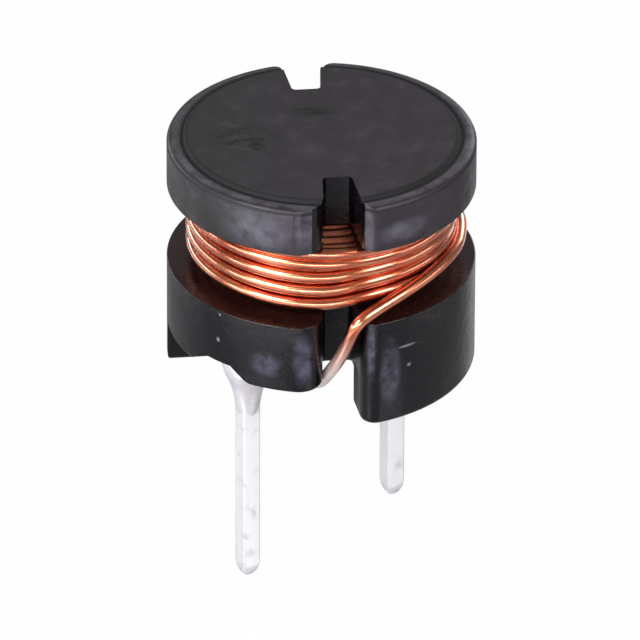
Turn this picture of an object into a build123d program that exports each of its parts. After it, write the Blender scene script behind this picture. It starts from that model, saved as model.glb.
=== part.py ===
from build123d import *
import os
from math import atan2, cos, hypot, radians, sin, sqrt, tan

# A radial power inductor: a wound ferrite drum core on two terminal pins. All sizes are in millimetres.
# +Z points up along the core's axis. The origin is the centre of the seating plane, on which the feet stand,
# and the pins stand on the X axis. The core looks the same after half a turn about Z.

# Drum core
body_diameter = 7.15
flange_thickness = 1.245
flange_bevel_width = 0.445
flange_bevel_drop = 0.185
flange_bevel_bulge = 0.015
window_height = 1.93
post_diameter = 3.6
base_thickness = 2.68
base_top_edge_radius = 0.06

# Feet and recess under the base
foot_height = 0.94
foot_width = 1.07
foot_sweep = 90.0
foot_edge_radius = 0.15
recess_edge_radius = 0.12

# Notches, cut through the flange and the base in the same plan
notch_angle = 49.1
notch_inner_distance = 2.09
notch_inner_width = 0.67
notch_wall_taper = 5.2
notch_offset = 0.11
notch_inner_radius = 0.12
notch_trailing_radius = 0.55
notch_leading_radius = 0.35

# Channel under the base, over the pins
channel_mouth_width = 1.9
channel_ceiling_width = 0.84
channel_depth = 0.38

# Terminal pins
pin_spacing = 5.0
pin_side = 0.45
pin_edge_radius = 0.05
pin_turn = -17.0
pin_protrusion = 4.90
pin_tip_length = 0.38
pin_tip_width = 0.2
pin_hole_depth = 1.0
pin_hole_clearance = 0.02

# Enamelled wire and its layers on the post, counted from the post outwards
wire_diameter = 0.30
layer_turns = (6, 5, 5, 4, 4)
post_clearance = 0.02
inner_layer_margin = 0.015
outer_layer_low = 0.44
outer_layer_high = 1.46

# Both leads
lead_clearance = 0.02
pin_end_gap = 0.02

# Start lead, straight down its notch
start_lead_distance = 2.28
start_lead_offset = 0.10
start_lead_rise = 0.30
start_lead_bend = 0.30

# Finish lead, in the groove between the two lowest outer turns. Angles are measured from its notch.
lead_start_angle = 154.0
lead_peel_angle = 42.0
lead_sink_angle = 19.0
lead_sink_rise = 0.20
lead_groove_steps = 3
lead_step_angle = 28.0
lead_groove_bend = 2.6
lead_peel_bend = 2.0
lead_sink_bend = 0.35

# Finish lead in its notch: how far each corner lies in from the rim, and sideways from the notch's direction
lead_edge_inset = 0.03
lead_edge_offset = 0.46
lead_wall_inset = 0.16
lead_wall_offset = 0.20
lead_wall_drop = 0.62
lead_low_inset = 0.63
lead_low_offset = -0.06
lead_low_rise = 0.32
lead_level_inset = 0.75
lead_level_offset = -0.08
lead_notch_bend = 0.5
lead_level_bend = 0.18

# Solder joints
solder_reach = 0.38
solder_waist = 0.60
solder_waist_drop = 0.50
solder_root_margin = 0.01
solder_hollow_share = 0.33
solder_bulge_share = 0.10

body_radius = body_diameter / 2
wire_radius = wire_diameter / 2
flange_bottom = base_thickness + window_height
flange_top = flange_bottom + flange_thickness
channel_ceiling = foot_height + channel_depth
pin_top = channel_ceiling + pin_hole_depth
pin_corner_radius = (pin_side / 2 - pin_edge_radius) * sqrt(2) + pin_edge_radius
lead_level = foot_height - wire_radius - lead_clearance
start_angle = notch_angle
finish_angle = notch_angle + 180
notch_angles = (start_angle, finish_angle)


def polar(distance, angle, height=0.0):
    """The point at a distance from the core's axis, at an angle in degrees from +X."""
    return Vector(distance * cos(radians(angle)), distance * sin(radians(angle)), height)


def beside_notch(outward, sideways, angle, height=0.0):
    """The point that lies outward along a notch's direction and sideways from it, anticlockwise."""
    return polar(outward, angle, height) + polar(sideways, angle + 90)


def seen_from_notch(point, angle):
    """How far a point lies outward along a notch's direction, and sideways from it."""
    distance = hypot(point.X, point.Y)
    turn = atan2(point.Y, point.X) - radians(angle)
    return distance * cos(turn), distance * sin(turn)


def core_plan():
    """The outline that the flange and the base share: a disc with two notches, its corners rounded."""
    run = body_radius - notch_inner_distance + notch_inner_width
    inner_half = notch_inner_width / 2
    outer_half = inner_half + run * tan(radians(notch_wall_taper))
    far = notch_inner_distance + run
    slot = Polygon(
        (notch_inner_distance, notch_offset - inner_half),
        (far, notch_offset - outer_half),
        (far, notch_offset + outer_half),
        (notch_inner_distance, notch_offset + inner_half),
        align=None,
    )
    plan = Circle(body_radius) - [Rot(0, 0, angle) * slot for angle in notch_angles]
    halfway = (notch_inner_distance + body_radius) / 2
    inner, trailing, leading = [], [], []
    for corner in plan.vertices():
        for angle in notch_angles:
            outward, sideways = seen_from_notch(corner, angle)
            if outward < 0 or abs(sideways - notch_offset) > outer_half:
                continue
            at_rim = leading if sideways > notch_offset else trailing
            side = at_rim if outward > halfway else inner
            side.append(corner)
    plan = fillet(inner, notch_inner_radius)
    trailing = [plan.vertices().sort_by_distance(corner)[0] for corner in trailing]
    plan = fillet(trailing, notch_trailing_radius)
    leading = [plan.vertices().sort_by_distance(corner)[0] for corner in leading]
    return fillet(leading, notch_leading_radius)


def wedge(angle, sweep):
    """A wedge from the axis that reaches past the rim, from an angle on through a sweep."""
    far = 2 * body_radius
    corners = [polar(far, angle + sweep * half / 2) for half in range(3)]
    return Polygon((0, 0), *[(corner.X, corner.Y) for corner in corners], align=None)


def base():
    """The thick lower disc with a foot next to each notch, and the channel over the pins."""
    plan = core_plan()
    slab = Pos(0, 0, foot_height) * extrude(plan, base_thickness - foot_height)
    slab = fillet(slab.edges().group_by(Axis.Z)[0], recess_edge_radius)
    body = fillet(slab.edges().group_by(Axis.Z)[-1], base_top_edge_radius)
    for angle in notch_angles:
        outline = plan & wedge(angle, foot_sweep)
        outline -= Circle(body_radius - foot_width)
        foot = extrude(outline, foot_height + 2 * recess_edge_radius)
        body += fillet(foot.edges().group_by(Axis.Z)[0], foot_edge_radius)
    slope = (channel_mouth_width - channel_ceiling_width) / 2 / channel_depth
    mouth_half = channel_mouth_width / 2 + slope * foot_edge_radius
    ceiling_half = channel_ceiling_width / 2
    channel = Polygon(
        (-mouth_half, foot_height - foot_edge_radius),
        (mouth_half, foot_height - foot_edge_radius),
        (ceiling_half, channel_ceiling),
        (-ceiling_half, channel_ceiling),
        align=None,
    )
    body -= extrude(Plane.YZ * channel, body_radius, both=True)
    hole_radius = pin_corner_radius + pin_hole_clearance / 2
    hole_middle = channel_ceiling + pin_hole_depth / 2
    for side in (1, -1):
        body -= Pos(side * pin_spacing / 2, 0, hole_middle) * Cylinder(hole_radius, pin_hole_depth)
    return body


def flange():
    """The top disc, with a softly crowned bevel round its upper edge except inside the notches."""
    shoulder = (body_radius, flange_top - flange_bevel_drop)
    brow = (body_radius - flange_bevel_width, flange_top)
    outline = Polyline(brow, (0, flange_top), (0, flange_bottom), (body_radius, flange_bottom), shoulder)
    outline += SagittaArc(brow, shoulder, flange_bevel_bulge)
    disc = Pos(0, 0, flange_bottom) * extrude(core_plan(), flange_thickness)
    return disc & revolve(Plane.XZ * make_face(outline), Axis.Z)


def drum_core():
    """The base, the post and the flange in one piece."""
    post_height = window_height + 2 * base_top_edge_radius
    post = Pos(0, 0, base_thickness + window_height / 2) * Cylinder(post_diameter / 2, post_height)
    return base() + post + flange()


def terminal_pin(side):
    """A square pin on the X axis, from the bottom of its blind hole down to its tapered tip."""
    section = RectangleRounded(pin_side, pin_side, pin_edge_radius)
    tip_start = -pin_protrusion + pin_tip_length
    shank = Pos(0, 0, tip_start) * extrude(section, pin_top - tip_start)
    end = scale(section, pin_tip_width / pin_side)
    tip = loft([Pos(0, 0, -pin_protrusion) * end, Pos(0, 0, tip_start) * section])
    turned = Rot(0, 0, pin_turn) * (shank + tip)
    return Pos(side * pin_spacing / 2, 0, 0) * turned


def layer_centres():
    """Each layer's wire centres: its radius, and the heights of its turns above the seating plane."""
    first = post_diameter / 2 + post_clearance + wire_radius
    nested_step = wire_diameter * sqrt(3) / 2
    inner_low = wire_radius + inner_layer_margin
    inner_high = window_height - inner_low
    centres = []
    for layer, turns in enumerate(layer_turns):
        share = layer / (len(layer_turns) - 1)
        low = inner_low + share * (outer_layer_low - inner_low)
        high = inner_high + share * (outer_layer_high - inner_high)
        heights = [base_thickness + low + (high - low) * turn / (turns - 1) for turn in range(turns)]
        centres.append((first + layer * nested_step, heights))
    return centres


def wire_along(route, bends):
    """Round wire along straight runs joined by tangent arcs."""
    path = FilletPolyline(*route, radius=bends)
    return sweep(Plane(origin=path @ 0, z_dir=path % 0) * Circle(wire_radius), path=path)


def pin_end(last, side):
    """Where a lead that runs level from its last bend meets its pin."""
    pin = Vector(side * pin_spacing / 2, 0, last.Z)
    return pin + (last - pin).normalized() * (pin_corner_radius + pin_end_gap)


def start_lead():
    """The inner end of the wire: straight down one notch, then along the recess to the +X pin."""
    place = (start_lead_distance, start_lead_offset, start_angle)
    top = beside_notch(*place, base_thickness + start_lead_rise)
    corner = beside_notch(*place, lead_level)
    return wire_along([top, corner, pin_end(corner, 1)], start_lead_bend)


def finish_lead():
    """The outer end: round between two outer turns, over the notch's edge and down to the -X pin."""
    outer, heights = layer_centres()[-1]
    groove = (heights[0] + heights[1]) / 2
    nested = outer + sqrt(wire_diameter**2 - (groove - heights[0]) ** 2) + lead_clearance
    crossing = outer + wire_diameter + lead_clearance
    corner = 1 / cos(radians(lead_step_angle / 2))
    on_base = base_thickness + wire_radius + lead_clearance
    route = [polar(outer - wire_radius, finish_angle + lead_start_angle, groove)]
    for step in range(lead_groove_steps, 0, -1):
        turn = lead_peel_angle + step * lead_step_angle
        route.append(polar(nested * corner, finish_angle + turn, groove))
    route.append(polar(crossing * corner, finish_angle + lead_peel_angle, groove))
    route.append(polar(crossing * corner, finish_angle + lead_sink_angle, on_base + lead_sink_rise))
    in_notch = (
        (lead_edge_inset, lead_edge_offset, on_base),
        (lead_wall_inset, lead_wall_offset, base_thickness - lead_wall_drop),
        (lead_low_inset, lead_low_offset, lead_level + lead_low_rise),
        (lead_level_inset, lead_level_offset, lead_level),
    )
    for inset, offset, height in in_notch:
        route.append(beside_notch(body_radius - inset, offset, finish_angle, height))
    route.append(pin_end(route[-1], -1))
    bends = [lead_groove_bend] * (lead_groove_steps + 1)
    bends += [lead_peel_bend, lead_sink_bend, lead_notch_bend, lead_notch_bend, lead_level_bend]
    return wire_along(route, bends)


def winding():
    """The layers as one revolved section, plain against the post, with the two leads that leave it."""
    centres = layer_centres()
    low_side = [(radius, heights[0]) for radius, heights in centres]
    high_side = [(radius, heights[-1]) for radius, heights in reversed(centres)]
    bore = post_diameter / 2 + post_clearance
    bore_side = [(bore, high_side[-1][1]), (bore, low_side[0][1])]
    section = Polygon(*low_side, *high_side, *bore_side, align=None)
    for radius, heights in centres:
        for height in heights:
            section += Pos(radius, height) * Circle(wire_radius)
    coil = revolve(Plane.XZ * section, Axis.Z)
    return coil + start_lead() + finish_lead()


def solder_joint(side, pin, lead):
    """Solder round a pin and its wire end, widest at the wire and drawn out thin down the pin."""
    low = (pin_corner_radius + solder_root_margin, -solder_reach)
    waist = (solder_waist, channel_ceiling - solder_waist_drop)
    high = (channel_ceiling_width / 2 - solder_root_margin, channel_ceiling)
    hollow = (low[0] + solder_hollow_share * (waist[0] - low[0]), (low[1] + waist[1]) / 2)
    bulge = (waist[0] + solder_bulge_share * (high[0] - waist[0]), (waist[1] + high[1]) / 2)
    outline = ThreePointArc(low, hollow, waist) + ThreePointArc(waist, bulge, high)
    outline += Polyline(high, (0, high[1]), (0, low[1]), low)
    blob = revolve(Plane.XZ * make_face(outline), Axis.Z)
    return Pos(side * pin_spacing / 2, 0, 0) * blob - pin - lead


start_pin = terminal_pin(1)
finish_pin = terminal_pin(-1)
nodes = {
    "drum_core": drum_core(),
    "winding": winding(),
    "start_pin": start_pin,
    "finish_pin": finish_pin,
    "start_solder": solder_joint(1, start_pin, start_lead()),
    "finish_solder": solder_joint(-1, finish_pin, finish_lead()),
}

os.makedirs("parts", exist_ok=True)
for name, piece in nodes.items():
    export_step(piece, f"parts/{name}.step")
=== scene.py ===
from math import atan2, ceil, cos, floor, hypot, pi, radians, sin, sqrt

import bpy
from mathutils import Matrix, Vector


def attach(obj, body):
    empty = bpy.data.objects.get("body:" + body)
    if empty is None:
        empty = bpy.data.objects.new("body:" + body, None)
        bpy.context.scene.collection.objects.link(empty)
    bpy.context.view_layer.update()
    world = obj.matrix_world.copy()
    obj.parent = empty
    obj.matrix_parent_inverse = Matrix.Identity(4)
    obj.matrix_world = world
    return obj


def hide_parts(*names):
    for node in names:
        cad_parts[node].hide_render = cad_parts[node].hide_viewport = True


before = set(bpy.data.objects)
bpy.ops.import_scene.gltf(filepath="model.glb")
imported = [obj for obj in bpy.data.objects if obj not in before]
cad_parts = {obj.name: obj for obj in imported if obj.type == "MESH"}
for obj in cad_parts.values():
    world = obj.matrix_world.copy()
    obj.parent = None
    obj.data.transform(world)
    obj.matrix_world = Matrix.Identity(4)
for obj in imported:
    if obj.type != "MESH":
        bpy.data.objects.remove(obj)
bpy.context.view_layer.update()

# Every size is in millimetres. put_in_place turns a finished piece into metres.
METRE = 0.001

BODY_RADIUS = 3.575
BASE_TOP = 2.68
WINDOW_HEIGHT = 1.93
FLANGE_BOTTOM = BASE_TOP + WINDOW_HEIGHT
FLANGE_HEIGHT = 1.245
FLANGE_TOP = FLANGE_BOTTOM + FLANGE_HEIGHT
POST_RADIUS = 1.8
BASE_TOP_ROUNDING = 0.03
FOOT_HEIGHT = 0.94
FOOT_WIDTH = 1.07
FOOT_SWEEP = radians(90)
FOOT_ROUNDING = 0.15
RECESS_ROUNDING = 0.12
EDGE_ROUNDING = 0.022

# The flange's bevel: insets from the rim and drops from the top
LIP_CREST_INSET = 0.25
LIP_CREST_DROP = 0.06
LIP_FALL = 0.125
GROOVE_INSET = 0.35
GROOVE_DROP = 0.085
SLOPE_INSET = 0.46

NOTCH_ANGLE = radians(49.1)
NOTCH_BOTTOM = 2.09
NOTCH_HALF_WIDTH = 0.335
NOTCH_TAPER = radians(5.2)
NOTCH_OFFSET = 0.11
NOTCH_INNER_ROUNDING = 0.12
NOTCH_TRAILING_ROUNDING = 0.55
NOTCH_LEADING_ROUNDING = 0.35

CHANNEL_MOUTH = 1.9
CHANNEL_CEILING_WIDTH = 0.84
CHANNEL_DEPTH = 0.38
CHANNEL_CEILING = FOOT_HEIGHT + CHANNEL_DEPTH

# How finely the outlines are drawn. A rim corner nearer to an arc's end than RIM_SPARE of a step is left out.
RIM_STEPS = 96
RIM_SPARE = 0.2
LIP_STEPS = 7
ROUNDING_STEPS = 12
INNER_ROUNDING_STEPS = 5

PIN_SPACING = 5.0
PIN_SIDE = 0.45
PIN_EDGE_ROUNDING = 0.05
PIN_TURN = radians(-17)
PIN_REACH = 4.90
PIN_IN_BASE = 0.1
PIN_TIP_LENGTH = 0.38
# Each step of the tip: the width it narrows to and its share of the tip's length
PIN_TIP_STEPS = ((0.40, 0.42), (0.30, 0.33), (0.16, 0.25))

# The solder from the top down: radius and height
SOLDER_RINGS = (
    (0.42, 1.31),
    (0.52, 1.12),
    (0.60, 0.82),
    (0.555, 0.62),
    (0.47, 0.42),
    (0.385, 0.20),
    (0.325, -0.05),
    (0.30, -0.22),
    (0.275, -0.36),
    (0.235, -0.50),
)

WIRE = 0.30
WIRE_SIDES = 24
WIRE_GAP = 0.02
# Turns in each layer under the outer one, from the post outwards
INNER_TURNS = (6, 5, 5, 4)
LAYER_STEP = WIRE * sqrt(3) / 2
FIRST_LAYER = POST_RADIUS + WIRE_GAP + WIRE / 2
OUTER_LAYER = FIRST_LAYER + len(INNER_TURNS) * LAYER_STEP
# Heights of the lowest and highest turns above the base. They change evenly from layer to layer.
FIRST_LAYER_LOW = 0.165
FIRST_LAYER_HIGH = 1.765
OUTER_LAYER_LOW = 0.44
OUTER_LAYER_HIGH = 1.60
# Heights of the outer turns' centres above the base: left, front and right as the camera stands
TURN_HEIGHTS = (
    (1.76, 1.67, 1.65),
    (1.46, 1.40, 1.41),
    (1.12, 1.05, 1.14),
    (0.78, 0.70, 0.84),
    (0.43, 0.35, 0.49),
)
COIL_STEP = radians(10)
# The outer layer's upper end: where it lies, and the turn over which it comes out from the layer inside
TUCK_START = radians(95)
TUCK_TURN = radians(30)
# Degrees past the last turn's front between which the wire climbs outwards, and how far out it climbs
CLIMB_START = 140
CLIMB_END = 200
CLIMB_OUT = 0.24
# Where the start lead stands in its notch: outwards from the axis and sideways
START_LEAD_PLACE = (2.28, 0.10)

# The side of the core that the camera faces, as an angle round the axis
VIEW_FRONT = radians(222.4)


# Modelling steps that the pieces share

def deselect_everything():
    if bpy.context.mode != "OBJECT":
        bpy.ops.object.mode_set(mode="OBJECT")
    bpy.ops.object.select_all(action="DESELECT")


def pick(piece):
    """Makes a piece the only one that is selected."""
    deselect_everything()
    piece.select_set(True)
    bpy.context.view_layer.objects.active = piece


def select_edges(piece, wanted):
    """In edit mode, selects the edges for which wanted(start, end) is true."""
    bpy.ops.mesh.select_mode(type="EDGE")
    bpy.ops.mesh.select_all(action="DESELECT")
    bpy.ops.object.mode_set(mode="OBJECT")
    points = piece.data.vertices
    for edge in piece.data.edges:
        start, end = edge.vertices
        edge.select = wanted(points[start].co, points[end].co)
    bpy.ops.object.mode_set(mode="EDIT")


def edit_faces(piece, wanted):
    """Opens a piece in edit mode and selects the faces for which wanted(normal) is true."""
    pick(piece)
    bpy.ops.object.mode_set(mode="EDIT")
    bpy.ops.mesh.select_mode(type="FACE")
    bpy.ops.mesh.select_all(action="DESELECT")
    bpy.ops.object.mode_set(mode="OBJECT")
    for face in piece.data.polygons:
        face.select = wanted(face.normal)
    bpy.ops.object.mode_set(mode="EDIT")


def draw_out(rings):
    """In edit mode, draws the selected face out along the axis. Each ring is its width and its height."""
    width, height = rings[0]
    for next_width, next_height in rings[1:]:
        bpy.ops.mesh.extrude_region_move(TRANSFORM_OT_translate={"value": (0, 0, next_height - height)})
        grow = next_width / width
        bpy.ops.transform.resize(value=(grow, grow, 1), center_override=(0, 0, next_height))
        width, height = next_width, next_height


def near(value, goal):
    return abs(value - goal) < 0.001


def rounded_level(piece, height, width, segments):
    """Rounds the edges that lie at one height."""
    pick(piece)
    bpy.ops.object.mode_set(mode="EDIT")
    select_edges(piece, lambda start, end: near(start.z, height) and near(end.z, height))
    bpy.ops.mesh.bevel(offset=width, segments=segments, affect="EDGES")
    bpy.ops.object.mode_set(mode="OBJECT")


def modify(piece, kind, **settings):
    """Adds a modifier with its settings and applies it."""
    pick(piece)
    modifier = piece.modifiers.new(kind.lower(), kind)
    for name, value in settings.items():
        setattr(modifier, name, value)
    bpy.ops.object.modifier_apply(modifier=modifier.name)


def join_or_cut(piece, tool, operation):
    """Joins a tool to a piece, cuts it out or keeps what they share, and deletes the tool."""
    modify(piece, "BOOLEAN", object=tool, operation=operation, solver="EXACT")
    bpy.data.objects.remove(tool)


def turned_copy(piece, angle):
    """A copy with its own mesh, turned about the core's axis."""
    copy = piece.copy()
    copy.data = piece.data.copy()
    bpy.context.collection.objects.link(copy)
    copy.data.transform(Matrix.Rotation(angle, 4, "Z"))
    return copy


def put_in_place(piece, name, material, record_slot, *nodes):
    """Turns a finished piece into metres, smooths its shading, gives it its material, hangs it from the root
    body and hides the CAD parts that it stands in for.
    """
    piece.name = name
    piece.data.name = name
    piece.data.transform(Matrix.Scale(METRE, 4))
    pick(piece)
    bpy.ops.object.shade_smooth_by_angle(angle=radians(38))
    modify(piece, "WEIGHTED_NORMAL", keep_sharp=True, weight=60)
    piece.data.materials.clear()
    piece.data.materials.append(material)
    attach(piece, "root")
    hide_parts(*nodes)
    return piece


# Outlines, drawn as with a pen: a corner is extruded along lines and spun along arcs

class Pen:
    """Draws a closed outline in edit mode, in a plane of one height."""

    def __init__(self, start, height):
        deselect_everything()
        bpy.ops.mesh.primitive_plane_add(size=1)
        self.piece = bpy.context.object
        bpy.ops.object.mode_set(mode="EDIT")
        bpy.ops.mesh.select_mode(type="VERT")
        bpy.ops.mesh.select_all(action="SELECT")
        bpy.ops.mesh.merge(type="CENTER")
        bpy.ops.transform.translate(value=(start[0], start[1], height))
        self.place = Vector(start)
        self.height = height

    def line(self, end):
        step = Vector(end) - self.place
        if step.length < 1e-4:
            return
        bpy.ops.mesh.extrude_region_move(TRANSFORM_OT_translate={"value": (step.x, step.y, 0)})
        self.place = Vector(end)

    def arc(self, centre, end, steps):
        """An arc of less than half a turn, either way round."""
        first, last = self.place - Vector(centre), Vector(end) - Vector(centre)
        turn = atan2(first.x * last.y - first.y * last.x, first.dot(last))
        bpy.ops.mesh.spin(steps=steps, angle=-turn, center=(*centre, self.height), axis=(0, 0, 1))
        self.place = Vector(end)

    def rim(self, end):
        """Follows the rim anticlockwise, with its corners at whole steps of one grid round the axis."""
        step = pi / RIM_STEPS
        start_step = atan2(self.place.y, self.place.x) / step
        end_step = atan2(end[1], end[0]) / step
        if end_step < start_step:
            end_step += 2 * RIM_STEPS
        first, last = floor(start_step + RIM_SPARE) + 1, ceil(end_step - RIM_SPARE) - 1
        self.arc((0, 0), BODY_RADIUS * Vector((cos(first * step), sin(first * step))), 1)
        self.arc((0, 0), BODY_RADIUS * Vector((cos(last * step), sin(last * step))), last - first)
        self.arc((0, 0), end, 1)

    def raised(self, thickness):
        """Closes the outline, fills it and raises it to a slab."""
        bpy.ops.mesh.select_all(action="SELECT")
        bpy.ops.mesh.remove_doubles(threshold=1e-3)
        bpy.ops.mesh.edge_face_add()
        bpy.ops.mesh.extrude_region_move(TRANSFORM_OT_translate={"value": (0, 0, thickness)})
        bpy.ops.mesh.select_all(action="SELECT")
        bpy.ops.mesh.normals_make_consistent(inside=False)
        bpy.ops.object.mode_set(mode="OBJECT")
        return self.piece


def about_axis(point, angle):
    """A point in plan, turned anticlockwise about the core's axis."""
    return Vector(point) @ Matrix.Rotation(-angle, 2)


def notch_side(side):
    """One wall of a notch that points along +X, as points: the rounding at the rim with its centre and ends,
    and the same for the rounding at the bottom."""
    rounding = NOTCH_LEADING_ROUNDING if side > 0 else NOTCH_TRAILING_ROUNDING
    foot = Vector((NOTCH_BOTTOM, NOTCH_OFFSET + side * NOTCH_HALF_WIDTH))
    along = Vector((cos(NOTCH_TAPER), side * sin(NOTCH_TAPER)))
    into_core = Vector((-sin(NOTCH_TAPER), side * cos(NOTCH_TAPER)))
    inset = foot + rounding * into_core
    reach = BODY_RADIUS - rounding
    middle = inset.dot(along)
    run = -middle + sqrt(middle**2 - inset.length_squared + reach**2)
    centre = inset + run * along
    inner_run = NOTCH_INNER_ROUNDING * (1 - sin(NOTCH_TAPER)) / cos(NOTCH_TAPER)
    inner_wall = foot + inner_run * along
    inner_centre = inner_wall - NOTCH_INNER_ROUNDING * into_core
    return {
        "rim": centre * BODY_RADIUS / reach,
        "centre": centre,
        "wall": centre - rounding * into_core,
        "inner_wall": inner_wall,
        "inner_centre": inner_centre,
        "bottom": Vector((NOTCH_BOTTOM, inner_centre.y)),
    }


def core_slab(height, thickness):
    """The outline that the flange and the base share, raised to a slab."""
    trailing, leading = notch_side(-1), notch_side(1)
    pen = None
    for angle in (NOTCH_ANGLE, NOTCH_ANGLE + pi):
        first = {name: about_axis(point, angle) for name, point in trailing.items()}
        second = {name: about_axis(point, angle) for name, point in leading.items()}
        if pen is None:
            pen = Pen(first["rim"], height)
        else:
            pen.rim(first["rim"])
        pen.arc(first["centre"], first["wall"], ROUNDING_STEPS)
        pen.line(first["inner_wall"])
        pen.arc(first["inner_centre"], first["bottom"], INNER_ROUNDING_STEPS)
        pen.line(second["bottom"])
        pen.arc(second["inner_centre"], second["inner_wall"], INNER_ROUNDING_STEPS)
        pen.line(second["wall"])
        pen.arc(second["centre"], second["rim"], ROUNDING_STEPS)
    pen.rim(about_axis(trailing["rim"], NOTCH_ANGLE))
    return pen.raised(thickness)


def foot_sector():
    """A foot, from the notch's leading wall round the rim to a straight end."""
    leading = {name: about_axis(point, NOTCH_ANGLE) for name, point in notch_side(1).items()}
    inner = BODY_RADIUS - FOOT_WIDTH
    wall, along = leading["wall"], (leading["wall"] - leading["inner_wall"]).normalized()
    middle = wall.dot(along)
    back = middle - sqrt(middle**2 - wall.length_squared + inner**2)
    start = wall - back * along
    far = NOTCH_ANGLE + FOOT_SWEEP
    pen = Pen(start, 0)
    pen.line(wall)
    pen.arc(leading["centre"], leading["rim"], ROUNDING_STEPS)
    pen.rim(about_axis((BODY_RADIUS, 0), far))
    pen.line(about_axis((inner, 0), far))
    pen.arc((0, 0), start, RIM_STEPS // 3)
    foot = pen.raised(FOOT_HEIGHT + 2 * RECESS_ROUNDING)
    rounded_level(foot, 0, FOOT_ROUNDING, segments=6)
    return foot


def channel_cutter():
    """The prism that cuts the channel over both pins."""
    slope = (CHANNEL_MOUTH - CHANNEL_CEILING_WIDTH) / 2 / CHANNEL_DEPTH
    low = FOOT_HEIGHT - FOOT_ROUNDING
    mouth_half = CHANNEL_MOUTH / 2 + slope * FOOT_ROUNDING
    deselect_everything()
    bpy.ops.mesh.primitive_cube_add(size=1, location=(0, 0, (low + CHANNEL_CEILING) / 2))
    cutter = bpy.context.object
    height = CHANNEL_CEILING - low
    bpy.ops.transform.resize(value=(2 * BODY_RADIUS + 1, 2 * mouth_half, height))
    bpy.ops.object.transform_apply(location=True, rotation=False, scale=True)
    for corner in cutter.data.vertices:
        if corner.co.z > FOOT_HEIGHT:
            corner.co.y *= CHANNEL_CEILING_WIDTH / 2 / mouth_half
    return cutter


def lip_profile():
    """The bevel from the rim inwards, as insets from the rim and drops from the top: a rounded lip, a shallow
    groove behind it, and a soft slope up to the flat top."""
    profile = []
    for step in range(LIP_STEPS):
        run = 1 - step / LIP_STEPS
        profile.append((LIP_CREST_INSET * (1 - run), LIP_CREST_DROP + LIP_FALL * (1 - sqrt(1 - run**2))))
    for step in range(LIP_STEPS):
        rise = (1 - cos(pi * step / LIP_STEPS)) / 2
        inset = LIP_CREST_INSET + (GROOVE_INSET - LIP_CREST_INSET) * step / LIP_STEPS
        profile.append((inset, LIP_CREST_DROP + (GROOVE_DROP - LIP_CREST_DROP) * rise))
    for step in range(LIP_STEPS + 1):
        rise = (1 + cos(pi * step / LIP_STEPS)) / 2
        inset = GROOVE_INSET + (SLOPE_INSET - GROOVE_INSET) * step / LIP_STEPS
        profile.append((inset, GROOVE_DROP * rise))
    return profile


def flange_bevel_envelope():
    """A disc a little wider than the flange whose upper edge follows the lip, the groove and the slope."""
    spare = 0.05
    low = FLANGE_BOTTOM - spare
    rings = [(BODY_RADIUS + spare, FLANGE_TOP - LIP_CREST_DROP - LIP_FALL - spare)]
    for inset, drop in lip_profile():
        rings.append((BODY_RADIUS - inset, FLANGE_TOP - drop))
    rings.append((rings[-1][0], FLANGE_TOP + spare))
    radius, height = rings[0]
    deselect_everything()
    bpy.ops.mesh.primitive_cylinder_add(
        vertices=2 * RIM_STEPS, radius=radius, depth=height - low, location=(0, 0, (height + low) / 2)
    )
    envelope = bpy.context.object
    bpy.ops.object.transform_apply(location=True, rotation=False, scale=False)
    edit_faces(envelope, lambda normal: normal.z > 0.9)
    draw_out(rings)
    bpy.ops.object.mode_set(mode="OBJECT")
    return envelope


def drum_core():
    """Flange, post and footed base, pressed in one piece."""
    core = core_slab(FOOT_HEIGHT, BASE_TOP - FOOT_HEIGHT)
    rounded_level(core, FOOT_HEIGHT, RECESS_ROUNDING, segments=6)
    rounded_level(core, BASE_TOP, BASE_TOP_ROUNDING, segments=4)
    foot = foot_sector()
    other_foot = turned_copy(foot, pi)
    join_or_cut(core, foot, "UNION")
    join_or_cut(core, other_foot, "UNION")
    join_or_cut(core, channel_cutter(), "DIFFERENCE")
    flange = core_slab(FLANGE_BOTTOM, FLANGE_TOP - FLANGE_BOTTOM)
    join_or_cut(flange, flange_bevel_envelope(), "INTERSECT")
    join_or_cut(core, flange, "UNION")
    deselect_everything()
    overlap = 0.1
    bpy.ops.mesh.primitive_cylinder_add(
        vertices=96, radius=POST_RADIUS, depth=WINDOW_HEIGHT + 2 * overlap,
        location=(0, 0, BASE_TOP + WINDOW_HEIGHT / 2),
    )
    post = bpy.context.object
    bpy.ops.object.transform_apply(location=True, rotation=False, scale=False)
    join_or_cut(core, post, "UNION")
    modify(core, "BEVEL", width=EDGE_ROUNDING, segments=2, limit_method="ANGLE", angle_limit=radians(32))
    return core


# Wire

def around(radius, turn, height):
    """A place at a radius, turned from the camera's side to the right, at a height above the base."""
    return Vector((radius * cos(VIEW_FRONT + turn), radius * sin(VIEW_FRONT + turn), BASE_TOP + height))


def seen(right, away, height):
    """A place right of the core's axis and away from the camera, at a height above the base."""
    return around(hypot(right, away), atan2(right, -away), height)


def tube(points, name):
    """Round wire along a smooth curve that its points draw, as a mesh."""
    deselect_everything()
    bpy.ops.curve.primitive_nurbs_path_add()
    wire = bpy.context.object
    wire.name = name
    curve = wire.data
    curve.splines.clear()
    spline = curve.splines.new("NURBS")
    spline.points.add(len(points) - 1)
    for corner, place in zip(spline.points, points):
        corner.co = (*place, 1)
    spline.order_u = 4
    spline.use_endpoint_u = True
    spline.resolution_u = 6
    curve.dimensions = "3D"
    curve.bevel_depth = WIRE / 2
    curve.bevel_resolution = WIRE_SIDES // 4 - 1
    curve.use_fill_caps = True
    curve.twist_mode = "MINIMUM"
    pick(wire)
    bpy.ops.object.convert(target="MESH")
    return bpy.context.object


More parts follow.
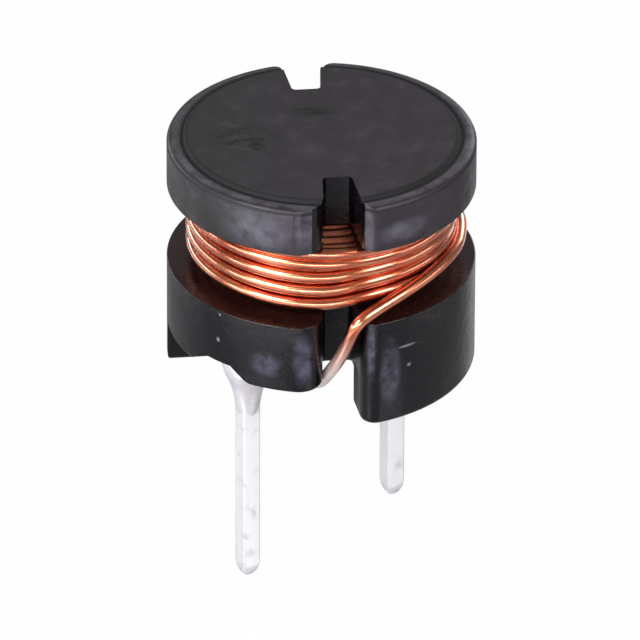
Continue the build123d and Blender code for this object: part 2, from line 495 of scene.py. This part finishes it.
def outer_layer():
    """The outer turns from the top down, wound clockwise, and the finish lead, in one wire."""
    # Each turn is level at the right and at the left, and slopes across the front and behind
    knots = [(TUCK_START, TURN_HEIGHTS[0][2])]
    for number, (left, front, right) in enumerate(TURN_HEIGHTS):
        turn_front = -2 * pi * number
        for degrees, height in ((60, right), (24, right), (0, front), (-60, left), (-140, left)):
            knots.append((turn_front + radians(degrees), height))
    # The last turn rises behind the coil, where it climbs outwards
    climb_start = turn_front - radians(CLIMB_START)
    knots[-1] = (climb_start, 0.46)
    knots.append((turn_front - radians(CLIMB_END), 0.62))
    knots.append((turn_front - radians(270), 0.68))

    points = []
    turn = TUCK_START
    place = 0
    while turn > knots[-1][0]:
        while place < len(knots) - 2 and turn < knots[place + 1][0]:
            place += 1
        (first, low), (last, high) = knots[place], knots[place + 1]
        share = (turn - first) / (last - first)
        share = share * share * (3 - 2 * share)
        climb = max(0.0, (climb_start - turn) / radians(CLIMB_END - CLIMB_START))
        tucked_in = max(0.0, 1 - (TUCK_START - turn) / TUCK_TURN)
        radius = OUTER_LAYER + CLIMB_OUT * min(1.0, climb) - WIRE * tucked_in
        points.append(around(radius, turn, low + share * (high - low)))
        turn -= COIL_STEP

    # Round the right of the coil, down to the base's edge
    for radius, degrees, height in (
        (3.25, 80, 0.68),
        (3.25, 70, 0.68),
        (3.25, 58, 0.66),
        (3.26, 46, 0.58),
        (3.28, 36, 0.47),
        (3.36, 25, 0.33),
        (3.46, 18, 0.21),
        (3.53, 14.5, 0.12),
    ):
        points.append(around(radius, radians(degrees), height))
    # Down the front notch to the recess and along it to the pin
    for right, away, height in (
        (0.74, -3.42, -0.12),
        (0.64, -3.39, -0.40),
        (0.52, -3.30, -0.75),
        (0.38, -3.18, -1.10),
        (0.22, -2.97, -1.45),
        (0.10, -2.80, -1.72),
        (-0.02, -2.72, -1.90),
        (-0.30, -2.62, -1.92),
        (-1.05, -2.18, -1.92),
        (-1.42, -1.98, -1.92),
    ):
        points.append(seen(right, away, height))
    return tube(points, "outer_layer")


def inner_layers():
    """The layers under the outer one, each turn drawn as a closed ring."""
    rings = []
    for layer, turns in enumerate(INNER_TURNS):
        share = layer / len(INNER_TURNS)
        low = FIRST_LAYER_LOW + share * (OUTER_LAYER_LOW - FIRST_LAYER_LOW)
        high = FIRST_LAYER_HIGH - share * (FIRST_LAYER_HIGH - OUTER_LAYER_HIGH)
        for turn in range(turns):
            height = low + (high - low) * turn / (turns - 1)
            deselect_everything()
            bpy.ops.mesh.primitive_torus_add(
                major_radius=FIRST_LAYER + layer * LAYER_STEP, minor_radius=WIRE / 2,
                major_segments=96, minor_segments=16, location=(0, 0, BASE_TOP + height),
            )
            bpy.ops.object.transform_apply(location=True, rotation=False, scale=False)
            rings.append(bpy.context.object)
    return rings


def start_lead():
    """The inner end of the wire, straight down its notch and along the recess to its pin."""
    level = FOOT_HEIGHT - WIRE / 2 - WIRE_GAP
    plan = about_axis(START_LEAD_PLACE, NOTCH_ANGLE)
    heights = (BASE_TOP + 0.30, BASE_TOP - 0.3, BASE_TOP - 0.9, level + 0.3, level + 0.08)
    points = [Vector((plan.x, plan.y, height)) for height in heights]
    corner = Vector((plan.x, plan.y, level))
    pin = Vector((PIN_SPACING / 2, 0, level))
    run = (pin - corner).normalized()
    points += [corner + 0.08 * run, corner + 0.3 * run, pin - 0.3 * run]
    return tube(points, "start_lead")


def winding():
    """The whole coil with both leads, joined to one piece."""
    pieces = [outer_layer(), start_lead(), *inner_layers()]
    deselect_everything()
    for piece in pieces:
        piece.select_set(True)
    bpy.context.view_layer.objects.active = pieces[0]
    bpy.ops.object.join()
    return bpy.context.object


# Pins and solder

def terminal_pin(side):
    """A square tinned pin with softened edges and a tapered tip."""
    top = CHANNEL_CEILING + PIN_IN_BASE
    shoulder = -PIN_REACH + PIN_TIP_LENGTH
    deselect_everything()
    bpy.ops.mesh.primitive_cube_add(size=1, location=(0, 0, (top + shoulder) / 2))
    pin = bpy.context.object
    bpy.ops.transform.resize(value=(PIN_SIDE, PIN_SIDE, top - shoulder))
    bpy.ops.object.transform_apply(location=True, rotation=False, scale=True)
    rings = [(PIN_SIDE, shoulder)]
    for width, share in PIN_TIP_STEPS:
        rings.append((width, rings[-1][1] - share * PIN_TIP_LENGTH))
    edit_faces(pin, lambda normal: normal.z < -0.9)
    draw_out(rings)
    bpy.ops.object.mode_set(mode="OBJECT")
    modify(pin, "BEVEL", width=PIN_EDGE_ROUNDING, segments=4, limit_method="ANGLE", angle_limit=radians(35))
    place = Matrix.Translation((side * PIN_SPACING / 2, 0, 0))
    pin.data.transform(place @ Matrix.Rotation(PIN_TURN, 4, "Z"))
    return pin


def solder_joint(side):
    """Solder round a pin, widest at the wire and drawn out thin down the pin."""
    radius, height = SOLDER_RINGS[0]
    deselect_everything()
    bpy.ops.mesh.primitive_circle_add(vertices=48, radius=radius, fill_type="NGON", location=(0, 0, height))
    joint = bpy.context.object
    bpy.ops.object.transform_apply(location=True, rotation=False, scale=False)
    bpy.ops.object.mode_set(mode="EDIT")
    bpy.ops.mesh.select_all(action="SELECT")
    draw_out(SOLDER_RINGS)
    bpy.ops.mesh.select_all(action="SELECT")
    bpy.ops.mesh.normals_make_consistent(inside=False)
    bpy.ops.object.mode_set(mode="OBJECT")
    joint.data.transform(Matrix.Translation((side * PIN_SPACING / 2, 0, 0)))
    return joint


# Materials

def linear(hex_colour):
    """An sRGB hex colour as Blender's linear red, green, blue and alpha."""
    parts = [int(hex_colour[place:place + 2], 16) / 255 for place in (1, 3, 5)]
    return (*[(p / 12.92) if p <= 0.04045 else ((p + 0.055) / 1.055) ** 2.4 for p in parts], 1.0)


def add_node(material, kind, links=(), values=(), stops=(), **settings):
    """Adds a node with settings by name, values by input number, a ramp's stops and links into its inputs."""
    node = material.node_tree.nodes.new(kind)
    for name, value in settings.items():
        if hasattr(node, name):
            setattr(node, name, value)
        else:
            node.inputs[name.replace("_", " ")].default_value = value
    for number, value in values:
        node.inputs[number].default_value = value
    for number, (place, colour) in enumerate(stops):
        if number > 1:
            node.color_ramp.elements.new(place)
        node.color_ramp.elements[number].position = place
        node.color_ramp.elements[number].color = linear(colour)
    for source, output, target in links:
        material.node_tree.links.new(source.outputs[output], node.inputs[target])
    return node


def new_material(name, **settings):
    """A material with its shader, and the place on the piece in millimetres that its patterns read."""
    material = bpy.data.materials.new(name)
    material.use_nodes = True
    shader = material.node_tree.nodes["Principled BSDF"]
    for key, value in settings.items():
        shader.inputs[key.replace("_", " ")].default_value = value
    coordinates = add_node(material, "ShaderNodeTexCoord")
    place = add_node(material, "ShaderNodeVectorMath", [(coordinates, "Object", 0)], operation="SCALE",
                     Scale=1 / METRE)
    return material, shader, place


def feed(material, source, target, socket):
    """Links a node's first output into a named socket of another node."""
    material.node_tree.links.new(source.outputs[0], target.inputs[socket])


def axis_distance(material, place):
    """How far a place is from the core's axis."""
    flat = add_node(material, "ShaderNodeVectorMath", [(place, 0, 0)], [(1, (1, 1, 0))], operation="MULTIPLY")
    return add_node(material, "ShaderNodeVectorMath", [(flat, 0, 0)], operation="LENGTH")


def band(material, measure, output, middle, full, faded, strength=1.0):
    """A soft band about one value of a measure: at its strength nearer than full, and nothing past faded."""
    off = add_node(material, "ShaderNodeMath", [(measure, output, 0)], [(1, middle)], operation="SUBTRACT")
    reach = add_node(material, "ShaderNodeMath", [(off, 0, 0)], operation="ABSOLUTE")
    return add_node(material, "ShaderNodeMapRange", [(reach, 0, "Value")],
                    interpolation_type="SMOOTHSTEP", From_Min=faded, From_Max=full, To_Max=strength)


def patch(material, place, spot, size, stretch):
    """A soft patch about a spot: 1 near its middle and 0 past its size, which is multiplied by the stretch
    towards the camera, to the right and upwards."""
    centred = add_node(material, "ShaderNodeVectorMath", [(place, 0, 0)], [(1, spot)], operation="SUBTRACT")
    turned = add_node(material, "ShaderNodeVectorRotate", [(centred, 0, "Vector")], rotation_type="Z_AXIS",
                      Angle=-VIEW_FRONT)
    shaped = add_node(material, "ShaderNodeVectorMath", [(turned, 0, 0)], [(1, stretch)], operation="DIVIDE")
    reach = add_node(material, "ShaderNodeVectorMath", [(shaped, 0, 0)], operation="LENGTH")
    return add_node(material, "ShaderNodeMapRange", [(reach, "Value", "Value")],
                    interpolation_type="SMOOTHSTEP", From_Min=size, From_Max=size * 0.35)


def wall_patches(material, place, spots):
    """Soft patches on the round wall. Each spot is its distance right of the axis as the camera stands, its
    height above the feet, and its half width and half height."""
    patches = None
    for right, height, half_width, half_height in spots:
        spot = seen(right, -sqrt(BODY_RADIUS**2 - right**2), height - BASE_TOP)
        one = patch(material, place, spot, 1.0, (1.0, half_width, half_height))
        if patches is None:
            patches = one
        else:
            patches = add_node(material, "ShaderNodeMath", [(patches, 0, 0), (one, 0, 1)],
                               operation="MAXIMUM")
    return patches


def ferrite_blotches(material, place):
    """Blotches of about 0.5 mm in the pressed powder, and lumps of about 0.3 mm."""
    blotches = add_node(material, "ShaderNodeTexNoise", [(place, 0, "Vector")], Scale=1 / 0.5, Detail=5.0,
                        Roughness=0.62)
    lumps = add_node(material, "ShaderNodeTexNoise", [(place, 0, "Vector")], Scale=1 / 0.28, Detail=2.0)
    return blotches, lumps


def bare_ferrite():
    """Pressed and sintered ferrite: dark grey with a violet cast and matt, with a dusty grain. Its wall and
    its lip's crest are painted paler and bluish as painted sheen, its groove is nearly black as painted
    shade, and its pits are nearly black."""
    material, shader, place = new_material("bare_sintered_ferrite", IOR=1.5)
    blotches, lumps = ferrite_blotches(material, place)
    # Powder grain of about 0.08 mm, coarser than the real grain so that it shows
    grain = add_node(material, "ShaderNodeTexNoise", [(place, 0, "Vector")], Scale=1 / 0.08, Detail=3.0,
                     Roughness=0.7)
    violet = add_node(material, "ShaderNodeValToRGB", [(blotches, 0, 0)],
                      stops=((0.30, "#191319"), (0.55, "#221b22"), (0.78, "#342d35")))
    painted_reflection_grey = add_node(material, "ShaderNodeValToRGB", [(blotches, 0, 0)],
                       stops=((0.30, "#161616"), (0.55, "#1f1f1f"), (0.78, "#333333")))
    # Painted reflection: the cast changes over the flange, from grey at the left, where lamplight from the
    # back left is reflected, to violet at the right
    rightward = add_node(material, "ShaderNodeVectorMath", [(place, 0, 0)], [(1, seen(1, 0, -BASE_TOP))],
                         operation="DOT_PRODUCT")
    share = add_node(material, "ShaderNodeMapRange", [(rightward, "Value", "Value")], From_Min=-0.8,
                     From_Max=-2.2)
    colour = add_node(material, "ShaderNodeMixRGB", [(share, 0, 0), (violet, 0, 1), (painted_reflection_grey, 0, 2)])
    # Painted sheen: the wall is paler and bluish beside the front notch and at its corners, where the lamps
    # are reflected
    painted_sheen = wall_patches(material, place, (
        (-1.45, 5.10, 1.05, 0.65),
        (-0.37, 5.25, 0.33, 0.80),
        (1.90, 5.02, 0.80, 0.36),
        (1.10, 5.10, 0.17, 0.75),
    ))
    mottle = add_node(material, "ShaderNodeTexNoise", [(place, 0, "Vector")], Scale=1 / 0.35, Detail=4.0)
    mottled = add_node(material, "ShaderNodeMapRange", [(mottle, 0, "Value")], From_Min=0.28, From_Max=0.68)
    painted_sheen = add_node(material, "ShaderNodeMath", [(painted_sheen, 0, 0), (mottled, 0, 1)], operation="MULTIPLY")
    colour = add_node(material, "ShaderNodeMixRGB", [(painted_sheen, 0, 0), (colour, 0, 1)],
                      Color2=linear("#4f4d57"))
    # Painted shade, nearly black, in the groove behind the lip and along the edge where the lip meets the
    # wall
    radius = axis_distance(material, place)
    groove = band(material, radius, "Value", BODY_RADIUS - GROOVE_INSET - 0.03, full=0.06, faded=0.15)
    parts = add_node(material, "ShaderNodeSeparateXYZ", [(place, 0, 0)])
    edge_shade = band(material, parts, "Z", FLANGE_TOP - LIP_CREST_DROP - LIP_FALL, full=0.02, faded=0.07,
                     strength=0.85)
    painted_groove_shade = add_node(material, "ShaderNodeMath", [(groove, 0, 0), (edge_shade, 0, 1)], operation="MAXIMUM")
    # Painted highlight: the lip's crest is paler where it catches the light
    crest = band(material, radius, "Value", BODY_RADIUS - 0.17, full=0.04, faded=0.13)
    painted_crest_highlight = add_node(material, "ShaderNodeMath", [(crest, 0, 0), (mottled, 0, 1)], operation="MULTIPLY")
    colour = add_node(material, "ShaderNodeMixRGB", [(painted_crest_highlight, 0, 0), (colour, 0, 1)],
                      Color2=linear("#4c494f"))
    # A dark smudge on the flange's top behind its middle, and pits to the left of the middle
    smudge = patch(material, place, seen(-0.25, 1.0, FLANGE_TOP - BASE_TOP), 1.0, (0.3, 0.78, 0.4))
    scuff = patch(material, place, seen(-1.75, -0.35, FLANGE_TOP - BASE_TOP), 0.95, (1, 1.2, 1))
    pits = add_node(material, "ShaderNodeTexNoise", [(place, 0, "Vector")], Scale=1 / 0.30, Detail=3.0)
    pitted = add_node(material, "ShaderNodeMapRange", [(pits, 0, "Value")], From_Min=0.42, From_Max=0.60)
    pit_share = add_node(material, "ShaderNodeMath", [(pitted, 0, 0), (scuff, 0, 1)], operation="MULTIPLY")
    marks = add_node(material, "ShaderNodeMath", [(smudge, 0, 0), (pit_share, 0, 1)], operation="MAXIMUM")
    # The marks and the painted shade are both nearly black
    dark = add_node(material, "ShaderNodeMath", [(marks, 0, 0), (painted_groove_shade, 0, 1)], operation="MAXIMUM")
    colour = add_node(material, "ShaderNodeMixRGB", [(dark, 0, 0), (colour, 0, 1)], Color2=linear("#050405"))
    feed(material, colour, shader, "Base Color")
    # The marks are glossier than the ferrite and the groove is duller
    dullness = add_node(material, "ShaderNodeMapRange", [(blotches, 0, "Value")], From_Min=0.3, From_Max=0.75,
                        To_Min=0.50, To_Max=0.36)
    dullness = add_node(material, "ShaderNodeMath", [(marks, 0, 0), (dullness, 0, 2)], [(1, -0.18)],
                        operation="MULTIPLY_ADD")
    dull_groove = add_node(material, "ShaderNodeMath", [(painted_groove_shade, 0, 0)], [(1, 0.75)], operation="MULTIPLY")
    dullness = add_node(material, "ShaderNodeMath", [(dullness, 0, 0), (dull_groove, 0, 1)],
                        operation="MAXIMUM")
    feed(material, dullness, shader, "Roughness")
    wavy = add_node(material, "ShaderNodeBump", [(lumps, 0, "Height")], Strength=0.5, Distance=0.03 * METRE)
    relief = add_node(material, "ShaderNodeMath", [(grain, 0, 0), (pit_share, 0, 1)], operation="SUBTRACT")
    dusty = add_node(material, "ShaderNodeBump", [(relief, 0, "Height"), (wavy, 0, "Normal")], Strength=0.4,
                     Distance=0.006 * METRE)
    feed(material, dusty, shader, "Normal")
    return material


def varnished_ferrite():
    """Ferrite that was dipped in thin varnish: nearly black, glossy and slightly wavy."""
    material, shader, place = new_material("varnished_ferrite", IOR=1.42)
    blotches, lumps = ferrite_blotches(material, place)
    colour = add_node(material, "ShaderNodeValToRGB", [(blotches, 0, 0)],
                      stops=((0.30, "#060406"), (0.60, "#0b070b"), (0.80, "#18131a")))
    # Painted highlights: soft pale bluish patches on the wall and on the corners beside the notch, where the
    # lamps are reflected in the gloss, mottled in streaks. A few pale specks too, which are marks on the
    # varnish
    painted_highlights = wall_patches(material, place, (
        (-1.25, 1.62, 0.46, 0.40),
        (-0.41, 1.81, 0.30, 0.85),
        (1.16, 1.95, 0.12, 0.95),
        (1.60, 1.35, 0.30, 1.10),
    ))
    specks = wall_patches(material, place, (
        (-2.36, 1.90, 0.05, 0.08),
        (-2.32, 2.58, 0.035, 0.05),
        (2.03, 1.41, 0.06, 0.06),
        (1.98, 1.93, 0.26, 0.04),
    ))
    highlight_streaks = add_node(material, "ShaderNodeMapRange", [(lumps, 0, "Value")], From_Min=0.25, From_Max=0.70)
    painted_highlights = add_node(material, "ShaderNodeMath", [(painted_highlights, 0, 0), (highlight_streaks, 0, 1)], operation="MULTIPLY")
    colour = add_node(material, "ShaderNodeMixRGB", [(painted_highlights, 0, 0), (colour, 0, 1)],
                      Color2=linear("#484654"))
    colour = add_node(material, "ShaderNodeMixRGB", [(specks, 0, 0), (colour, 0, 1)],
                      Color2=linear("#6f6c74"))
    # The varnish that ran down off the coil lies thick and brown on the base's top
    # Painted reflection: the base's top is reddish brown where the copper coil above it is reflected in the
    # varnish
    parts = add_node(material, "ShaderNodeSeparateXYZ", [(place, 0, 0)])
    painted_copper_reflection = add_node(material, "ShaderNodeMath", [(parts, "Z", 0)], [(1, BASE_TOP), (2, 0.01)],
                      operation="COMPARE")
    colour = add_node(material, "ShaderNodeMixRGB", [(painted_copper_reflection, 0, 0), (colour, 0, 1)],
                      Color2=linear("#200d0a"))
    feed(material, colour, shader, "Base Color")
    gloss = add_node(material, "ShaderNodeMapRange", [(blotches, 0, "Value")], From_Min=0.3, From_Max=0.75,
                     To_Min=0.32, To_Max=0.22)
    feed(material, gloss, shader, "Roughness")
    wavy = add_node(material, "ShaderNodeBump", [(lumps, 0, "Height")], Strength=0.4, Distance=0.03 * METRE)
    feed(material, wavy, shader, "Normal")
    return material


def varnish_base_and_shade_notches(core, varnished):
    """Gives the varnish to the base. The walls of all four notches get it too, as painted shade: its darker
    colour stands for the shade in the notches. The rest of the core stays bare.
    """
    notch_reach = 0.62
    core.data.materials.append(varnished)
    for face in core.data.polygons:
        middle = face.center / METRE
        aside = about_axis((middle.x, middle.y), -NOTCH_ANGLE).y
        shaded_notch_wall = abs(aside) < notch_reach and abs(face.normal.z) < 0.5
        if middle.z < BASE_TOP + 0.1 or shaded_notch_wall:
            face.material_index = 1


def enamelled_copper():
    """Drawn copper wire under clear enamel: a warm metal with fine drawing lines along the wire, a hard
    gloss from the enamel, and its lower ends tinned where they were dipped in solder."""
    material, shader, place = new_material(
        "enamelled_copper", Metallic=1.0, Coat_Weight=1.0, Coat_Roughness=0.12, Coat_IOR=1.8
    )
    parts = add_node(material, "ShaderNodeSeparateXYZ", [(place, 0, 0)])
    radius = axis_distance(material, place)
    along = add_node(material, "ShaderNodeCombineXYZ", [(radius, "Value", 0), (parts, "Z", 1)])
    # Drawing lines of about 0.04 mm, coarser than real ones so that they show, and stains of about 0.7 mm
    lines = add_node(material, "ShaderNodeTexNoise", [(along, 0, "Vector")], Scale=1 / 0.04, Detail=2.0)
    stains = add_node(material, "ShaderNodeTexNoise", [(place, 0, "Vector")], Scale=1 / 0.7, Detail=4.0)
    tone = add_node(material, "ShaderNodeValToRGB", [(stains, 0, 0)],
                    stops=((0.30, "#c65a31"), (0.52, "#dc7545"), (0.75, "#ec9869")))
    tinned = add_node(material, "ShaderNodeMapRange", [(parts, "Z", "Value")], From_Min=2.5, From_Max=1.2)
    colour = add_node(material, "ShaderNodeMixRGB", [(tinned, 0, 0), (tone, 0, 1)], Color2=linear("#fbe9da"))
    feed(material, colour, shader, "Base Color")
    metal = add_node(material, "ShaderNodeMapRange", [(tinned, 0, "Value")], To_Min=1.0, To_Max=0.5)
    feed(material, metal, shader, "Metallic")
    roughness = add_node(material, "ShaderNodeMapRange", [(lines, 0, "Value")], To_Min=0.21, To_Max=0.29)
    feed(material, roughness, shader, "Roughness")
    bump = add_node(material, "ShaderNodeBump", [(lines, 0, "Height")], Strength=0.06, Distance=0.004 * METRE)
    feed(material, bump, shader, "Normal")
    return material


def tin_plate():
    """Bright tin over drawn square wire: nearly white, with small grey specks, faint lines down the pin where
    it is duller, and soft unevenness."""
    material, shader, place = new_material("tin_plate", Metallic=0.62)
    # Drawing lines of about 0.07 mm that run down the pin, and specks of about 0.35 mm
    drawn = add_node(material, "ShaderNodeMapping", [(place, 0, "Vector")], Scale=(14, 14, 0.5))
    lines = add_node(material, "ShaderNodeTexNoise", [(drawn, 0, "Vector")], Scale=1.0, Detail=3.0)
    cloud = add_node(material, "ShaderNodeTexNoise", [(place, 0, "Vector")], Scale=1 / 0.35, Detail=5.0)
    tone = add_node(material, "ShaderNodeValToRGB", [(cloud, 0, 0)],
                    stops=((0.25, "#dcdadc"), (0.42, "#fbfafb"), (0.8, "#ffffff")))
    feed(material, tone, shader, "Base Color")
    roughness = add_node(material, "ShaderNodeMapRange", [(lines, 0, "Value")], To_Min=0.24, To_Max=0.40)
    feed(material, roughness, shader, "Roughness")
    bump = add_node(material, "ShaderNodeBump", [(cloud, 0, "Height")], Strength=0.3, Distance=0.01 * METRE)
    feed(material, bump, shader, "Normal")
    return material


def bright_solder():
    """Solder that set from the melt: bright and smooth, with soft dimples of about 0.3 mm."""
    material, shader, place = new_material("bright_solder", Metallic=0.7)
    dimples = add_node(material, "ShaderNodeTexNoise", [(place, 0, "Vector")], Scale=1 / 0.3, Detail=2.0)
    tone = add_node(material, "ShaderNodeValToRGB", [(dimples, 0, 0)],
                    stops=((0.3, "#eeecee"), (0.6, "#fbf9fb")))
    feed(material, tone, shader, "Base Color")
    roughness = add_node(material, "ShaderNodeMapRange", [(dimples, 0, "Value")], To_Min=0.28, To_Max=0.42)
    feed(material, roughness, shader, "Roughness")
    bump = add_node(material, "ShaderNodeBump", [(dimples, 0, "Height")], Strength=0.5, Distance=0.03 * METRE)
    feed(material, bump, shader, "Normal")
    return material


core = put_in_place(drum_core(), "ferrite_drum_core", bare_ferrite(), "ferrite", "drum_core")
varnish_base_and_shade_notches(core, varnished_ferrite())
put_in_place(winding(), "copper_winding", enamelled_copper(), "enamelled_copper", "winding")
tin = tin_plate()
put_in_place(terminal_pin(1), "tinned_start_pin", tin, "tinned_pin", "start_pin")
put_in_place(terminal_pin(-1), "tinned_finish_pin", tin, "tinned_pin", "finish_pin")
solder = bright_solder()
put_in_place(solder_joint(1), "start_solder_joint", solder, "solder", "start_solder")
put_in_place(solder_joint(-1), "finish_solder_joint", solder, "solder", "finish_solder")


# Camera, floor, lamps and surroundings

CAMERA_ELEVATION = radians(30.15)
CAMERA_DISTANCE = 290
CAMERA_LENS = 702.3
CAMERA_ROLL = radians(0.25)
AIM_HEIGHT = 0.867
AIM_LEFT = 0.02

LAMP_DISTANCE = 100
LAMP_COLOUR = "#faf8ff"
# Each lamp: its name, degrees right of the camera, degrees up, width, height and glow
LAMPS = (
    ("left_key", -44, 34, 44, 40, 13.0),
    ("right_key", 50, 34, 40, 40, 10.0),
    ("low_front_strip", -30, 9, 210, 9, 21.0),
    ("low_right_strip", 82, 9, 60, 9, 7.0),
    ("left_side_softbox", -118, 9, 100, 9, 10.0),
    ("back_right_softbox", 150, 18, 50, 30, 4.0),
    ("back_fill", -170, 45, 70, 30, 0.75),
)

# How white the card is of itself, to the camera and in reflections, and how bright the world is as light
CARD_SEEN_WHITE = 0.985
CARD_MIRRORED_WHITE = 0.12
WORLD_LIGHT = 0.24


def outwards(turn, elevation):
    """The direction from the coil to a place turned right of the camera's side and raised."""
    angle = VIEW_FRONT + turn
    return Vector((cos(angle) * cos(elevation), sin(angle) * cos(elevation), sin(elevation)))


def place_camera():
    """The camera, far off with a long lens, because the perspective is flat."""
    back = outwards(0, CAMERA_ELEVATION)
    left = Vector((sin(VIEW_FRONT), -cos(VIEW_FRONT), 0))
    aim = Vector((0, 0, AIM_HEIGHT)) + AIM_LEFT * left
    deselect_everything()
    bpy.ops.object.camera_add(location=(aim + CAMERA_DISTANCE * back) * METRE)
    camera = bpy.context.object
    camera.name = "camera"
    facing = (-back).to_track_quat("-Z", "Y").to_matrix()
    camera.rotation_euler = (facing @ Matrix.Rotation(CAMERA_ROLL, 3, "Z")).to_euler()
    camera.data.lens = CAMERA_LENS
    camera.data.sensor_width = 36
    camera.data.clip_start = 0.01
    camera.data.clip_end = 10
    bpy.context.scene.camera = camera


def place_lamp(name, turn, elevation, width, height, glow):
    """A flat soft lamp aimed at the coil. Its glow is its brightness as a white card's would be given, where
    1 is white."""
    direction = outwards(turn, elevation)
    aim = Vector((0, 0, BASE_TOP))
    deselect_everything()
    bpy.ops.object.light_add(type="AREA", location=(aim + LAMP_DISTANCE * direction) * METRE)
    lamp = bpy.context.object
    lamp.name = name
    lamp.data.shape = "RECTANGLE"
    lamp.data.size = width * METRE
    lamp.data.size_y = height * METRE
    lamp.data.energy = glow * pi * width * height * METRE**2
    lamp.data.color = linear(LAMP_COLOUR)[:3]
    lamp.rotation_euler = (-direction).to_track_quat("-Z", "Y").to_euler()


def white_card():
    """The white glossy card under the tips of the pins. It mirrors the lamps and keeps the part's shadow."""
    deselect_everything()
    bpy.ops.mesh.primitive_plane_add(size=2, location=(0, 0, -PIN_REACH * METRE))
    card = bpy.context.object
    card.name = "floor"
    bpy.ops.object.transform_apply(location=True, rotation=False, scale=True)
    material, shader, _ = new_material("white_card", Base_Color=linear("#949394"), Roughness=0.2, IOR=1.8)
    path = add_node(material, "ShaderNodeLightPath")
    mirrored = add_node(material, "ShaderNodeMath", [(path, "Is Glossy Ray", 0)], [(1, CARD_MIRRORED_WHITE)],
                        operation="MULTIPLY")
    share = add_node(material, "ShaderNodeMath", [(path, "Is Camera Ray", 0), (mirrored, 0, 2)],
                     [(1, CARD_SEEN_WHITE)], operation="MULTIPLY_ADD")
    white = add_node(material, "ShaderNodeEmission", Color=linear("#ffffff"), Strength=1.0)
    both = add_node(material, "ShaderNodeMixShader", [(share, 0, 0), (shader, 0, 1), (white, 0, 2)])
    feed(material, both, material.node_tree.nodes["Material Output"], "Surface")
    card.data.materials.append(material)


def surroundings():
    """A dim white world that looks white to the camera and through anything clear."""
    world = bpy.data.worlds.new("studio")
    bpy.context.scene.world = world
    world.use_nodes = True
    background = world.node_tree.nodes["Background"]
    background.inputs["Color"].default_value = linear("#ffffff")
    path = add_node(world, "ShaderNodeLightPath")
    looks_white = add_node(world, "ShaderNodeMath",
                           [(path, "Is Camera Ray", 0), (path, "Is Transmission Ray", 1)],
                           operation="ADD", use_clamp=True)
    strength = add_node(world, "ShaderNodeMapRange", [(looks_white, 0, "Value")], To_Min=WORLD_LIGHT,
                        To_Max=1.0)
    feed(world, strength, background, "Strength")


place_camera()
for name, turn, elevation, width, height, glow in LAMPS:
    place_lamp(name, radians(turn), radians(elevation), width, height, glow)
white_card()
surroundings()
bpy.context.scene.view_settings.view_transform = "Standard"
